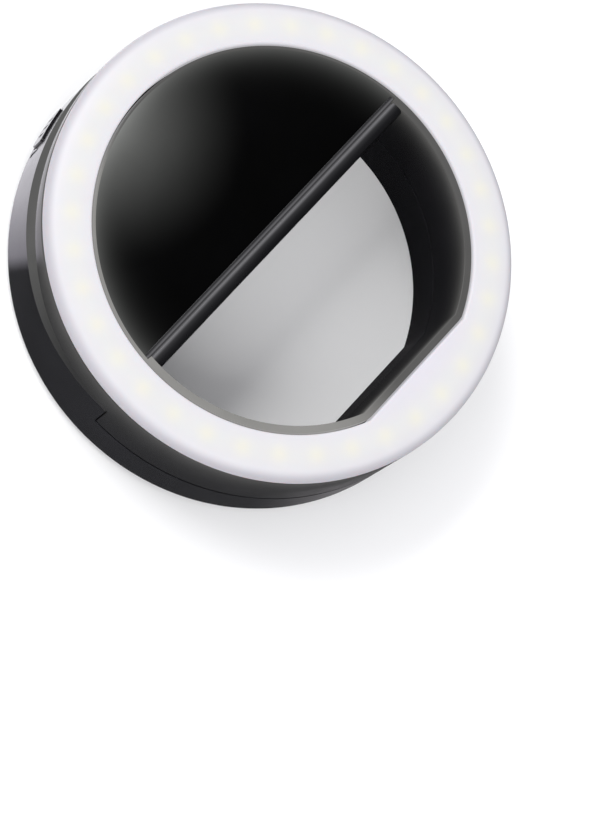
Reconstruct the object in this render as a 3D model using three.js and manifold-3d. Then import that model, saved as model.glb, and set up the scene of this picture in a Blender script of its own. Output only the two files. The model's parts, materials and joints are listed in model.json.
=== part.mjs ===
// Clip-on ring light for a phone: a spring clip whose upper half is a glowing ring.
// Millimetres. The light lies on its back: +Z is where it shines, +Y points to the half-moon
// finger lever, -Y to the jaw, and the ring's axis is Z through the origin, on the back face.
import * as THREE from 'three';
import { mergeVertices } from 'three/addons/utils/BufferGeometryUtils.js';
import Module from 'manifold-3d';

const wasm = await Module();
wasm.setup();

// Driving dimensions
const OUTER_R = 42.5;           // outside of both housings
const THICKNESS = 25.5;         // back face to the diffuser's crest
const WALL = 1.7;               // moulded wall
const CLEAR = 0.3;              // gap between pieces that touch on the real object
const OPEN_ANGLE = 10;          // degrees the jaw opens
const SEGMENTS = 72;            // sides of a full circle
const FAR = 60;                 // reach of a cutting tool that passes right through

const DIFFUSER_R = 34.5;        // inner edge of the diffuser band
const DIFFUSER_FLAT = 32.0;     // its flat at the jaw, from the ring's axis
const DIFFUSER_DROP = 3.0;      // how far the dome falls from crest to rim
const DIFFUSER_SKIN = 1.4;
const WINDOW_R = 32.9;          // see-through window of both housings
const WINDOW_FLAT = 30.4;
const LIP_WALL = 1.3;           // wall round the window in the light head
const LIP_TOP = 25.2;
const PANEL_TOP = 24.7;         // the half-moon panel that closes half of the ring
const PANEL_THICK = 1.6;
const PANEL_GROWTH = 0.4;       // the panel and the bar run this far into the lip
const LED_R = 38.0;
const LED_COUNT = 36;
const LED_BOARD_THICK = 1.0;

const HINGE_Y = 2.6;
const HINGE_Z = 16.5;
const BARREL_R = 2.7;
const PIN_R = 1.0;
const PIN_BORE_R = 1.35;
const PIN_HALF = 31.5;
const LUG_FROM = 21;            // the head's two knuckles, from the middle
const LUG_TO = 31;
const CENTRE_BARREL = 9.5;      // half the length of the clip's knuckle
const SPRING_FROM = 10.4;
const SPRING_TO = 20.0;
const WIRE_R = 0.35;
const COIL_R = 1.8;
const SPRING_TURNS = 5.5;
const SPRING_LEG = 6.0;

const PARTING_Z = 10.15;        // middle of the closed jaw's parting line
const JAW_SPLIT_Y = 1.0;        // the head's deep jaw wall ends here
const REAR_SPLIT_Y = 1.3;       // and the rear housing's low one here
const PAD_HALF_ANGLE = 32;      // the grip pads reach this far each side of -Y
const PAD_THICK = 1.8;
const LEVER_Z = 16.8;           // back edge of the head beside the hinge
const LEVER_BEND_Y = 20;        // there the back edge starts to rise
const LEVER_SLOPE = 0.144;
const LEVER_GAP = 0.25;         // left between the lever and the clip when it is squeezed
const BAR_LOW = 19.5;           // underside of the bar over the hinge
const BAR_TOP = 24.9;
const BAR_CROWN = 2.0;          // its rounded edge
const SKIRT_R = 40.3;           // skirt of the head that slides inside the rear housing
const SKIRT_THICK = 1.0;
const WEB_Z = 19.9;             // underside of the ledge below the LED board
const WEB_THICK = 0.8;
const COVER_THICK = 1.1;
const HEAD_COVER_Z = 18.6;
const HEAD_COVER_Y = 9.4;
const CLIP_COVER_Z = 8.6;
const JAW_COVER_THICK = 1.0;
const FRONT_JAW_COVER_Z = 12.3;
const REAR_JAW_COVER_Z = 7.0;
const FLOOR = 1.8;              // back plate of the rear housing
const EDGE_RADIUS = 2.0;        // rounded back edge
const RIDGES = 5;               // grip grooves under the finger
const RIDGE_PITCH = 2.4;

const PORT_ANGLE = 11.5;        // button and socket, degrees each side of +Y
const SLOT_ANGLE = 18.3;        // charge light window
const PORT_Z = 5.8;
const RIM_FROM = 38;            // radii between which a port is cut through the wall
const RIM_TO = 45;
const BUTTON = { across: 7.3, height: 5.3, proud: 0.5, travel: 0.5 };
const BATTERY = { x: 18, y0: 8.4, y1: 25.4, z0: 2.4, z1: 7.4 };
const BOARD = { x: 14, y0: 26.8, y1: 36.2, z0: 2.6, z1: 3.6 };
const BOARD_TOP = BOARD.z1 + 0.1;
const LEAD_R = 0.45;
const LEAD_SPACING = 0.7;

const HEAD_SCREWS = [[24, 14], [14, 27], [-24, 14], [-14, 27]];
const CLIP_SCREWS = [[31, 13], [24, 27], [-31, 13], [-24, 27]];
const SCREW_HEAD_R = 1.8;
const SCREW_HEAD = 0.8;
const SCREW_SHANK_R = 0.9;
const COVER_HOLE_R = 1.25;
const BOSS_R = 2.4;
const BOSS_BORE_R = 1.15;

// Solids ---------------------------------------------------------------------------------

// Welds a geometry's corners, drops slivers and turns its faces outward
function closedMesh(geometry) {
  const bare = geometry.index ? geometry.toNonIndexed() : geometry.clone();
  bare.deleteAttribute('normal');
  bare.deleteAttribute('uv');
  const merged = mergeVertices(bare, 1e-4);
  const points = merged.attributes.position.array;
  const index = merged.index.array;
  const corners = [];
  let volume = 0;
  const a = new THREE.Vector3();
  const b = new THREE.Vector3();
  const c = new THREE.Vector3();
  for (let i = 0; i < index.length; i += 3) {
    const [p, q, r] = [index[i], index[i + 1], index[i + 2]];
    if (p !== q && q !== r && r !== p) {
      corners.push([p, q, r]);
      b.fromArray(points, 3 * q).cross(c.fromArray(points, 3 * r));
      volume += a.fromArray(points, 3 * p).dot(b);
    }
  }
  const outward = volume > 0 ? corners : corners.map(([p, q, r]) => [p, r, q]);
  return { points: new Float32Array(points), triangles: new Uint32Array(outward.flat()) };
}

function solid(geometry) {
  const { points, triangles } = closedMesh(geometry);
  return new wasm.Manifold(new wasm.Mesh({ numProp: 3, vertProperties: points, triVerts: triangles }));
}

// A closed outline of [radius, z] points turned round the ring's axis
function lathe(outline) {
  const ring = [...outline, outline[0]].map(([r, z]) => new THREE.Vector2(r, z));
  return solid(new THREE.LatheGeometry(ring, SEGMENTS).rotateX(Math.PI / 2).rotateZ(Math.PI / 2));
}

// A closed outline of [x, y] points raised from z0 to z1
function prism(outline, z0, z1) {
  const shape = new THREE.Shape(outline.map(([x, y]) => new THREE.Vector2(x, y)));
  const geometry = new THREE.ExtrudeGeometry(shape, { depth: z1 - z0, bevelEnabled: false });
  return solid(geometry.translate(0, 0, z0));
}

// A closed outline of [y, z] points drawn out from x0 to x1
function profileX(outline, x0, x1) {
  const shape = new THREE.Shape(outline.map(([y, z]) => new THREE.Vector2(y, z)));
  const geometry = new THREE.ExtrudeGeometry(shape, { depth: x1 - x0, bevelEnabled: false });
  geometry.rotateX(Math.PI / 2).rotateZ(Math.PI / 2).translate(x0, 0, 0);
  return solid(geometry);
}

function box(x0, x1, y0, y1, z0, z1) {
  const geometry = new THREE.BoxGeometry(x1 - x0, y1 - y0, z1 - z0);
  return solid(geometry.translate((x0 + x1) / 2, (y0 + y1) / 2, (z0 + z1) / 2));
}

// Everything towards the jaw from y
function jawSide(y) {
  return box(-FAR, FAR, -FAR, y, -FAR, FAR);
}

// Everything towards the lever from y
function leverSide(y) {
  return box(-FAR, FAR, y, FAR, -FAR, FAR);
}

// Points of an arc in degrees, both ends included
function arc(x, y, r, from, to, steps) {
  const points = [];
  for (let step = 0; step <= steps; step += 1) {
    const angle = THREE.MathUtils.degToRad(from + ((to - from) * step) / steps);
    points.push([x + r * Math.cos(angle), y + r * Math.sin(angle)]);
  }
  return points;
}

function disc(r, z0, z1, sides = SEGMENTS) {
  return prism(arc(0, 0, r, 0, 360 - 360 / sides, sides - 1), z0, z1);
}

function post(x, y, r, z0, z1, sides = 16) {
  return disc(r, z0, z1, sides).translate([x, y, 0]);
}

function rodX(r, y, z, x0, x1, sides = 24) {
  return disc(r, 0, x1 - x0, sides).rotate([0, 90, 0]).translate([x0, y, z]);
}

// A disc cut straight at the jaw, `flat` from the axis
function cutDisc(r, flat, z0, z1) {
  return disc(r, z0, z1).subtract(jawSide(-flat));
}

// A block at the rim, `across` wide, centred on an angle from +Y towards -X
function rimBlock(angle, across, r0, r1, z0, z1) {
  return box(-across / 2, across / 2, r0, r1, z0, z1).rotate([0, 0, angle]);
}

// A round wire through points
function wire(points, r, steps, sides = 6) {
  const ring = arc(0, 0, r, 0, 360 - 360 / sides, sides - 1);
  const shape = new THREE.Shape(ring.map(([x, y]) => new THREE.Vector2(x, y)));
  const extrudePath = new THREE.CatmullRomCurve3(points, false, 'centripetal');
  return solid(new THREE.ExtrudeGeometry(shape, { steps, extrudePath, bevelEnabled: false }));
}

// A cross-head screw whose head sits on `seat`: facing is 1 when the head is on the +Z side, else -1
function screw([x, y], seat, length, facing) {
  const head = post(0, 0, SCREW_HEAD_R, 0, SCREW_HEAD, 12);
  const shank = post(0, 0, SCREW_SHANK_R, -length, 0.1, 10);
  const slot = box(-1.0, 1.0, -0.2, 0.2, SCREW_HEAD / 2, SCREW_HEAD + 1);
  const cross = slot.add(slot.rotate([0, 0, 90]));
  const turn = facing > 0 ? 0 : 180;
  return head.add(shank).subtract(cross).rotate([turn, 0, 0]).translate([x, y, seat]);
}

function drilled(body, places, r, from) {
  let result = body;
  for (const [x, y] of places) {
    result = result.subtract(post(x, y, r, from, FAR));
  }
  return result;
}

// Shared outlines ------------------------------------------------------------------------

// How far a point of the clip at y comes towards the head when the clip is squeezed
function travel(y) {
  return (y - HINGE_Y) * Math.tan(THREE.MathUtils.degToRad(OPEN_ANGLE));
}

// Where the head ends towards the back, beside and above the hinge
function leverEdge(y) {
  return LEVER_Z + LEVER_SLOPE * Math.max(0, y - LEVER_BEND_Y);
}

// Where the rear housing ends towards the front
function rearEdge(y) {
  return leverEdge(y) - travel(y) - LEVER_GAP;
}

// Where the skirt ends: just clear of the inner cover when the clip is squeezed
function skirtEdge(y) {
  return CLIP_COVER_Z + COVER_THICK + 2 * CLEAR + travel(y);
}

// The diffuser's section at the crest: flat by the window, round at the rim
function domePoints(outer, crest, drop, steps) {
  const points = [];
  for (let step = 0; step <= steps; step += 1) {
    const s = Math.sin((Math.PI / 2) * (step / steps));
    const fall = 1 - (1 - s ** 2.5) ** 0.4;
    points.push([DIFFUSER_R + (outer - DIFFUSER_R) * s, crest - drop * fall]);
  }
  return points;
}

// The jaw's hollow, a D-shaped trough round its half of the window
function jawTrough(z0, z1, yTop) {
  const inset = WALL + CLEAR;
  const inner = cutDisc(WINDOW_R + inset, WINDOW_FLAT + inset, -FAR, FAR);
  return disc(OUTER_R - inset, z0, z1).subtract(inner).subtract(leverSide(yTop));
}

function jawPad(z0, z1) {
  const x = FAR * Math.tan(THREE.MathUtils.degToRad(PAD_HALF_ANGLE));
  const wedge = prism([[0, 0], [-x, -FAR], [x, -FAR]], z0 - 1, z1 + 1);
  return jawTrough(z0, z1, 0).intersect(wedge);
}

// Light head -----------------------------------------------------------------------------

const HEAD_BACK = PARTING_Z + CLEAR / 2;
const RIM_Z = THICKNESS - DIFFUSER_DROP;

function headRing() {
  const wall = disc(OUTER_R, HEAD_BACK, RIM_Z - CLEAR).subtract(disc(OUTER_R - WALL, -FAR, FAR));
  const web = disc(OUTER_R - 1, WEB_Z, WEB_Z + WEB_THICK);
  const lip = cutDisc(WINDOW_R + LIP_WALL, WINDOW_FLAT + LIP_WALL, HEAD_BACK, LIP_TOP);
  const ring = wall.add(web).add(lip).subtract(cutDisc(WINDOW_R, WINDOW_FLAT, -FAR, FAR));
  const bend = [LEVER_BEND_Y, leverEdge(LEVER_BEND_Y)];
  const under = [[JAW_SPLIT_Y, 0], [JAW_SPLIT_Y, LEVER_Z], bend, [FAR, leverEdge(FAR)], [FAR, 0]];
  const lipUnder = disc(WINDOW_R + LIP_WALL + 0.1, 0, WEB_Z).subtract(jawSide(JAW_SPLIT_Y));
  return ring.subtract(profileX(under, -FAR, FAR)).subtract(lipUnder);
}

function leverPanel() {
  const plate = disc(WINDOW_R + PANEL_GROWTH, PANEL_TOP - PANEL_THICK, PANEL_TOP);
  return plate.subtract(jawSide(HINGE_Y + 0.4));
}

// The bar along the window's straight edge, with a shadow groove behind its crown
function chordBar() {
  const crown = arc(BAR_CROWN, BAR_TOP - BAR_CROWN, BAR_CROWN, 180, 90, 6);
  const groove = [[2.4, BAR_TOP], [2.4, BAR_TOP - 1], [2.85, BAR_TOP - 1], [2.85, LIP_TOP], [3.6, LIP_TOP]];
  const panelEdge = [[3.6, PANEL_TOP - PANEL_THICK], [1.6, PANEL_TOP - PANEL_THICK - 0.8], [1.6, BAR_LOW]];
  const bar = profileX([[0, BAR_LOW], ...crown, ...groove, ...panelEdge], -WINDOW_R, WINDOW_R);
  return bar.intersect(disc(WINDOW_R + PANEL_GROWTH, 0, THICKNESS));
}

function skirt() {
  const from = HINGE_Y + BARREL_R + 0.7;
  const kept = [[from, skirtEdge(from)], [FAR, skirtEdge(FAR)], [FAR, WEB_Z + FAR], [from, WEB_Z + FAR]];
  const tube = disc(SKIRT_R, 0, WEB_Z + 0.2).subtract(disc(SKIRT_R - SKIRT_THICK, -FAR, FAR));
  return tube.intersect(profileX(kept, -FAR, FAR));
}

function headKnuckle(from, to) {
  const neck = box(from, to, 0, 4.4, HINGE_Z, PANEL_TOP - 1);
  return rodX(BARREL_R, HINGE_Y, HINGE_Z, from, to).add(neck);
}

function frontHousing() {
  let housing = headRing().add(leverPanel()).add(chordBar()).add(skirt());
  housing = housing.add(headKnuckle(LUG_FROM, LUG_TO)).add(headKnuckle(-LUG_TO, -LUG_FROM));
  for (const [x, y] of HEAD_SCREWS) {
    housing = housing.add(post(x, y, BOSS_R, HEAD_COVER_Z + COVER_THICK + 0.2, PANEL_TOP - 1));
    housing = housing.subtract(post(x, y, BOSS_BORE_R, 0, PANEL_TOP - PANEL_THICK - CLEAR));
  }
  return housing.subtract(rodX(PIN_BORE_R, HINGE_Y, HINGE_Z, -FAR, FAR));
}

function diffuserRing() {
  const inner = DIFFUSER_FLAT - 1;
  const skinCrest = THICKNESS - DIFFUSER_SKIN;
  const outside = domePoints(OUTER_R, THICKNESS, DIFFUSER_DROP, 6);
  const inside = domePoints(OUTER_R - DIFFUSER_SKIN, skinCrest, DIFFUSER_DROP - DIFFUSER_SKIN, 3).reverse();
  const shell = lathe([[inner, THICKNESS], ...outside, ...inside, [inner, skinCrest]]);
  const rib = cutDisc(DIFFUSER_R + DIFFUSER_SKIN, DIFFUSER_FLAT + DIFFUSER_SKIN, 21.1, skinCrest + 0.2);
  return shell.add(rib).subtract(cutDisc(DIFFUSER_R, DIFFUSER_FLAT, -FAR, FAR));
}

const LED_BOARD_Z = WEB_Z + WEB_THICK + 0.1;
const STRIP_Z = LED_BOARD_Z + LED_BOARD_THICK + 0.1;

function ledBoard() {
  const hole = cutDisc(DIFFUSER_R + 1.8, DIFFUSER_FLAT + 1.8, -FAR, FAR);
  return disc(OUTER_R - WALL - CLEAR, LED_BOARD_Z, LED_BOARD_Z + LED_BOARD_THICK).subtract(hole);
}

function ledStrip() {
  let strip = disc(LED_R + 1, STRIP_Z, STRIP_Z + 0.25).subtract(disc(LED_R - 1, -FAR, FAR));
  for (let i = 0; i < LED_COUNT; i += 1) {
    const angle = (360 / LED_COUNT) * i;
    strip = strip.add(rimBlock(angle, 2.8, LED_R - 0.8, LED_R + 0.8, STRIP_Z + 0.1, STRIP_Z + 0.9));
  }
  return strip;
}

function headBackCover() {
  const r = SKIRT_R - SKIRT_THICK - CLEAR;
  const plate = disc(r, HEAD_COVER_Z, HEAD_COVER_Z + COVER_THICK).subtract(jawSide(HEAD_COVER_Y));
  return drilled(plate, HEAD_SCREWS, COVER_HOLE_R, 0);
}

// Rear housing and what it holds ---------------------------------------------------------

const REAR_JAW_TOP = PARTING_Z - CLEAR / 2;

// The outer form: a cup with a rounded back edge, low at the jaw and sloping down under the lever
function rearForm() {
  const backEdge = arc(OUTER_R - EDGE_RADIUS, EDGE_RADIUS, EDGE_RADIUS, -90, 0, 5);
  const cup = lathe([[0, 0], ...backEdge, [OUTER_R, LEVER_Z], [0, LEVER_Z]]);
  const shoulder = LEVER_Z - CLEAR;
  const side = [[-FAR, -1], [-FAR, REAR_JAW_TOP], [REAR_SPLIT_Y, REAR_JAW_TOP], [REAR_SPLIT_Y, shoulder],
    [HINGE_Y, shoulder], [LEVER_BEND_Y, rearEdge(LEVER_BEND_Y)], [FAR, rearEdge(FAR)], [FAR, -1]];
  return cup.intersect(profileX(side, -FAR, FAR));
}

function rearHollow() {
  const windowWall = cutDisc(WINDOW_R + WALL, WINDOW_FLAT + WALL, -FAR, FAR).subtract(leverSide(WALL));
  return disc(OUTER_R - WALL, FLOOR, FAR).subtract(windowWall);
}

function rearPorts() {
  const button = rimBlock(PORT_ANGLE, BUTTON.across + 0.6, RIM_FROM, RIM_TO, PORT_Z - 3, PORT_Z + 3);
  const slot = rimBlock(SLOT_ANGLE, 1.0, RIM_FROM, RIM_TO, 3.0, 7.4);
  const socket = rimBlock(-PORT_ANGLE, 8.4, RIM_FROM, RIM_TO, 3.4, 6.9);
  return button.add(slot).add(socket);
}

function rearHousing() {
  let housing = rearForm().subtract(rearHollow());
  housing = housing.subtract(cutDisc(WINDOW_R, WINDOW_FLAT, -FAR, FAR).subtract(leverSide(0)));
  const corner = WINDOW_R + WALL;
  housing = housing.subtract(box(-corner, corner, -1, WALL + 0.1, REAR_JAW_TOP, FAR));
  const rib = box(-FAR, FAR, 6.2, 7.4, FLOOR - 0.5, CLIP_COVER_Z - 0.2);
  const knucklePost = box(-CENTRE_BARREL, CENTRE_BARREL, 0.4, 4.4, FLOOR - 0.5, HINGE_Z);
  const knuckle = rodX(BARREL_R, HINGE_Y, HINGE_Z, -CENTRE_BARREL, CENTRE_BARREL);
  housing = housing.add(rib.intersect(disc(OUTER_R - 0.5, 0, FAR))).add(knucklePost).add(knuckle);
  housing = housing.subtract(rodX(PIN_BORE_R, HINGE_Y, HINGE_Z, -LUG_TO, LUG_TO));
  for (const [x, y] of CLIP_SCREWS) {
    housing = housing.add(post(x, y, BOSS_R + 0.1, FLOOR - 0.5, CLIP_COVER_Z - 0.2));
  }
  housing = drilled(housing, CLIP_SCREWS, BOSS_BORE_R, BOARD.z1 + 0.6).subtract(rearPorts());
  for (let i = 0; i < RIDGES; i += 1) {
    const y = BOARD.y0 - 0.8 + RIDGE_PITCH * i;
    const half = 15 - 1.6 * i;
    housing = housing.subtract(box(-half, half, y - 0.5, y + 0.5, -1, 0.5));
  }
  return housing;
}

function clipInnerCover() {
  const plate = disc(OUTER_R - WALL - CLEAR, CLIP_COVER_Z, CLIP_COVER_Z + COVER_THICK);
  return drilled(plate.subtract(jawSide(HINGE_Y + BARREL_R + 0.5)), CLIP_SCREWS, COVER_HOLE_R, 0);
}

function hingePin() {
  const head = rodX(PIN_R + 0.25, HINGE_Y, HINGE_Z, -PIN_HALF, -PIN_HALF + 0.3, 16);
  return rodX(PIN_R, HINGE_Y, HINGE_Z, -PIN_HALF, PIN_HALF, 16).add(head);
}

// A helix round the hinge pin: one leg lies under the lever's panel, the other on the inner cover
function torsionSpring(side) {
  const start = SPRING_FROM + WIRE_R + 0.2;
  const pitch = (SPRING_TO - SPRING_FROM - 2 * WIRE_R - 0.4) / SPRING_TURNS;
  const steps = 8 * SPRING_TURNS;
  const points = [new THREE.Vector3(side * start, HINGE_Y + SPRING_LEG, HINGE_Z + COIL_R)];
  for (let step = 0; step <= steps; step += 1) {
    const turn = (SPRING_TURNS * step) / steps;
    const angle = Math.PI / 2 + 2 * Math.PI * turn;
    const y = HINGE_Y + COIL_R * Math.cos(angle);
    points.push(new THREE.Vector3(side * (start + pitch * turn), y, HINGE_Z + COIL_R * Math.sin(angle)));
  }
  const rest = CLIP_COVER_Z + COVER_THICK + WIRE_R + CLEAR;
  points.push(new THREE.Vector3(points.at(-1).x, HINGE_Y + SPRING_LEG + 1, rest));
  return wire(points, WIRE_R, points.length - 1);
}

function batteryPack() {
  const { x, y0, y1, z0, z1 } = BATTERY;
  const round = (z1 - z0) / 2;
  const middle = (z0 + z1) / 2;
  const core = box(-x, x, y0 + round, y1 - round, z0, z1);
  return core.add(rodX(round, y0 + round, middle, -x, x, 20)).add(rodX(round, y1 - round, middle, -x, x, 20));
}

function batteryPad() {
  const { x, y0, y1, z0 } = BATTERY;
  return box(-x + 2, x - 2, y0 + 4, y1 - 4, FLOOR + 0.1, z0 - 0.1);
}

// From the battery's top down to the board
function batteryLead(offset) {
  const x = BOARD.x - 6 + offset;
  const top = BATTERY.z1 + LEAD_R + 0.1;
  return wire([
    new THREE.Vector3(x, 14, top),
    new THREE.Vector3(x, 20, top),
    new THREE.Vector3(x, 25.6, top - 0.3),
    new THREE.Vector3(x, 27.6, top - 2.4),
    new THREE.Vector3(x, 29, BOARD.z1 + 0.6),
  ], LEAD_R, 12);
}

// From the board to the head, as far as the hinge
function headLead(offset) {
  const z = 4.9 + offset;
  return wire([
    new THREE.Vector3(-26, 8.6, z),
    new THREE.Vector3(-25.6, 14, z),
    new THREE.Vector3(-22, 20, z),
    new THREE.Vector3(-19.8, 26, z),
    new THREE.Vector3(-15, 30, z),
  ], LEAD_R, 12);
}

function controlBoard() {
  return box(-BOARD.x, BOARD.x, BOARD.y0, BOARD.y1, BOARD.z0, BOARD.z1);
}

// A square package on the board, centred on x, y
function chip(x, y, width, depth, height) {
  return box(x - width / 2, x + width / 2, y - depth / 2, y + depth / 2, BOARD_TOP, BOARD_TOP + height);
}

function inductor() {
  return chip(0, 33.4, 6, 6, 0.8).add(post(0, 33.4, 2.8, BOARD_TOP, BOARD_TOP + 2.6, 24));
}

function tactSwitch() {
  const body = rimBlock(PORT_ANGLE, 6, 34.9, 38.0, BOARD_TOP, BOARD_TOP + 4);
  return body.add(rimBlock(PORT_ANGLE, 2.4, 37.9, 38.6, PORT_Z - 0.7, PORT_Z + 0.7));
}

function powerButton() {
  const z0 = PORT_Z - BUTTON.height / 2;
  const z1 = PORT_Z + BUTTON.height / 2;
  const cap = rimBlock(PORT_ANGLE, BUTTON.across, 39.6, RIM_TO, z0, z1);
  const stem = rimBlock(PORT_ANGLE, 2.4, 38.8 + BUTTON.travel, 40, PORT_Z - 0.9, PORT_Z + 0.9);
  return cap.add(stem).intersect(disc(OUTER_R + BUTTON.proud, 0, FAR, 2 * SEGMENTS));
}

function usbSocket() {
  const shell = rimBlock(-PORT_ANGLE, 7.6, 35.6, 41.6, 3.8, 6.5);
  const mouth = rimBlock(-PORT_ANGLE, 6.9, 36.4, 43, 4.1, 6.2);
  const tongue = rimBlock(-PORT_ANGLE, 4.2, 36.2, 41.0, 4.7, 5.3);
  return shell.subtract(mouth).add(tongue);
}

function indicatorLed() {
  return rimBlock(SLOT_ANGLE + 0.6, 1.6, 37.1, 37.9, BOARD_TOP, BOARD_TOP + 1.2);
}

function lightPipe() {
  return rimBlock(SLOT_ANGLE, 0.5, 38.7, 41.7, 3.4, 7.0);
}

// Assembly -------------------------------------------------------------------------------

// Colour, roughness and metalness
const FINISHES = {
  black: ['#1d1d20', 0.25, 0],
  diffuser: ['#f4f2f6', 0.35, 0],
  board: ['#e8e8e4', 0.5, 0],
  led: ['#ffe9a8', 0.4, 0],
  green: ['#1d5b34', 0.5, 0],
  steel: ['#b9bbc0', 0.3, 0.9],
  rubber: ['#242426', 0.8, 0],
  battery: ['#c9ccd2', 0.35, 0.5],
  foam: ['#3a3a3c', 0.9, 0],
  chip: ['#202022', 0.5, 0],
  red: ['#b02a20', 0.5, 0],
  dark: ['#141416', 0.5, 0],
  smoke: ['#3b3d42', 0.2, 0],
};

const ringLight = new THREE.Group();

function place(name, body, finish) {
  const { vertProperties, triVerts } = body.getMesh();
  const geometry = new THREE.BufferGeometry();
  geometry.setAttribute('position', new THREE.BufferAttribute(new Float32Array(vertProperties), 3));
  geometry.setIndex(new THREE.BufferAttribute(new Uint32Array(triVerts), 1));
  const [color, roughness, metalness] = FINISHES[finish];
  const mesh = new THREE.Mesh(geometry, new THREE.MeshStandardMaterial({ color, roughness, metalness }));
  mesh.name = name;
  ringLight.add(mesh);
}

function placeScrews(name, places, seat, length, facing) {
  places.forEach((spot, i) => {
    place(`${name}_${i + 1}`, screw(spot, seat, length, facing), 'steel');
  });
}

function placeHead() {
  place('front_housing', frontHousing(), 'black');
  place('diffuser_ring', diffuserRing(), 'diffuser');
  place('led_board', ledBoard(), 'board');
  place('led_strip', ledStrip(), 'led');
  place('head_back_cover', headBackCover(), 'dark');
  const coverTop = FRONT_JAW_COVER_Z + JAW_COVER_THICK;
  place('front_jaw_cover', jawTrough(FRONT_JAW_COVER_Z, coverTop, JAW_SPLIT_Y - 0.4), 'dark');
  place('front_jaw_pad', jawPad(HEAD_BACK, HEAD_BACK + PAD_THICK), 'rubber');
  placeScrews('head_screw', HEAD_SCREWS, HEAD_COVER_Z - 0.1, 3.6, -1);
}

function placeHinge() {
  place('hinge_pin', hingePin(), 'steel');
  place('torsion_spring_left', torsionSpring(-1), 'steel');
  place('torsion_spring_right', torsionSpring(1), 'steel');
}

function placeClip() {
  place('rear_housing', rearHousing(), 'black');
  place('clip_inner_cover', clipInnerCover(), 'dark');
  const coverTop = REAR_JAW_COVER_Z + JAW_COVER_THICK;
  place('rear_jaw_cover', jawTrough(REAR_JAW_COVER_Z, coverTop, REAR_SPLIT_Y - 0.5), 'dark');
  place('rear_jaw_pad', jawPad(REAR_JAW_TOP - PAD_THICK, REAR_JAW_TOP), 'rubber');
  placeScrews('clip_screw', CLIP_SCREWS, CLIP_COVER_Z + COVER_THICK + 0.1, 5, 1);
}

function placeElectronics() {
  place('battery_pack', batteryPack(), 'battery');
  place('battery_foam_pad', batteryPad(), 'foam');
  place('battery_lead_positive', batteryLead(LEAD_SPACING), 'red');
  place('battery_lead_negative', batteryLead(-LEAD_SPACING), 'dark');
  place('head_lead_positive', headLead(LEAD_SPACING), 'red');
  place('head_lead_negative', headLead(-LEAD_SPACING), 'dark');
  place('control_board', controlBoard(), 'green');
  place('charger_chip', chip(6.8, 31.5, 5, 4, 1.5), 'chip');
  place('driver_chip', chip(-6.6, 30.4, 4, 4, 1.0), 'chip');
  place('power_inductor', inductor(), 'chip');
  place('tact_switch', tactSwitch(), 'steel');
  place('usb_socket', usbSocket(), 'steel');
  place('indicator_led', indicatorLed(), 'led');
  place('indicator_light_pipe', lightPipe(), 'smoke');
  place('power_button', powerButton(), 'black');
}

placeHead();
placeClip();
placeHinge();
placeElectronics();

export default ringLight;
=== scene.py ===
"""Looks of the clip-on ring light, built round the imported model. Sizes are in millimetres in
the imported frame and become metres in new_object: +Z is where it shines, +Y the finger lever."""

import json
from math import acos, asin, cos, hypot, pi, radians, sin, tan

import bmesh
import bpy
from mathutils import Matrix, Vector


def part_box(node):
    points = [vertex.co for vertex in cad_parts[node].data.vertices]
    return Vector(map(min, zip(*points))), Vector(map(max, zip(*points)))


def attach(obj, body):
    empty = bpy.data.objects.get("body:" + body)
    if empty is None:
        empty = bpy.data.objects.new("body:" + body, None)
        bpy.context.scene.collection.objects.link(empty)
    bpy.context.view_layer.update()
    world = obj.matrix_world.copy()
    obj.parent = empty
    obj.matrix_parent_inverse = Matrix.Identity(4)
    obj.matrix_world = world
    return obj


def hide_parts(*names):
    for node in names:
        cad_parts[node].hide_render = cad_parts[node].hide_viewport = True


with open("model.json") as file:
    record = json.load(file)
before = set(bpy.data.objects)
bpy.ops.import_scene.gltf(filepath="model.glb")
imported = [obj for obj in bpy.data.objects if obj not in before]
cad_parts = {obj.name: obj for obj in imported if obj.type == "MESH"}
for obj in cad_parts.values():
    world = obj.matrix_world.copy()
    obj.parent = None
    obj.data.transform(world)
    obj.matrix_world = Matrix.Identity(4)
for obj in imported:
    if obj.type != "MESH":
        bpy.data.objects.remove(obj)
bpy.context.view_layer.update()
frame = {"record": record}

MM = 0.001


def box_mm(node):
    """Lowest and highest corner of a CAD node, in millimetres."""
    low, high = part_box(node)
    return [v / MM for v in low], [v / MM for v in high]


# Driving sizes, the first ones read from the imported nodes

REAR_HIGH = box_mm("rear_housing")[1]
FRONT_LOW, FRONT_HIGH = box_mm("front_housing")
DIFFUSER_LOW, DIFFUSER_HIGH = box_mm("diffuser_ring")
HINGE = next(joint for joint in frame["record"]["behaviour"]["joints"] if joint["type"] == "hinge")

OUTER_R = REAR_HIGH[0]
CREST = DIFFUSER_HIGH[2]
JAW_HEAD_Z = FRONT_LOW[2]
LIP_TOP = FRONT_HIGH[2]
HINGE_Y = HINGE["pos_m"][1] / MM
HINGE_Z = HINGE["pos_m"][2] / MM
OPEN_ANGLE = radians(HINGE["range_deg"][1])
REAR_JAW_TOP = box_mm("rear_jaw_pad")[1][2]
COVER_TOP = box_mm("clip_inner_cover")[1][2]

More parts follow.
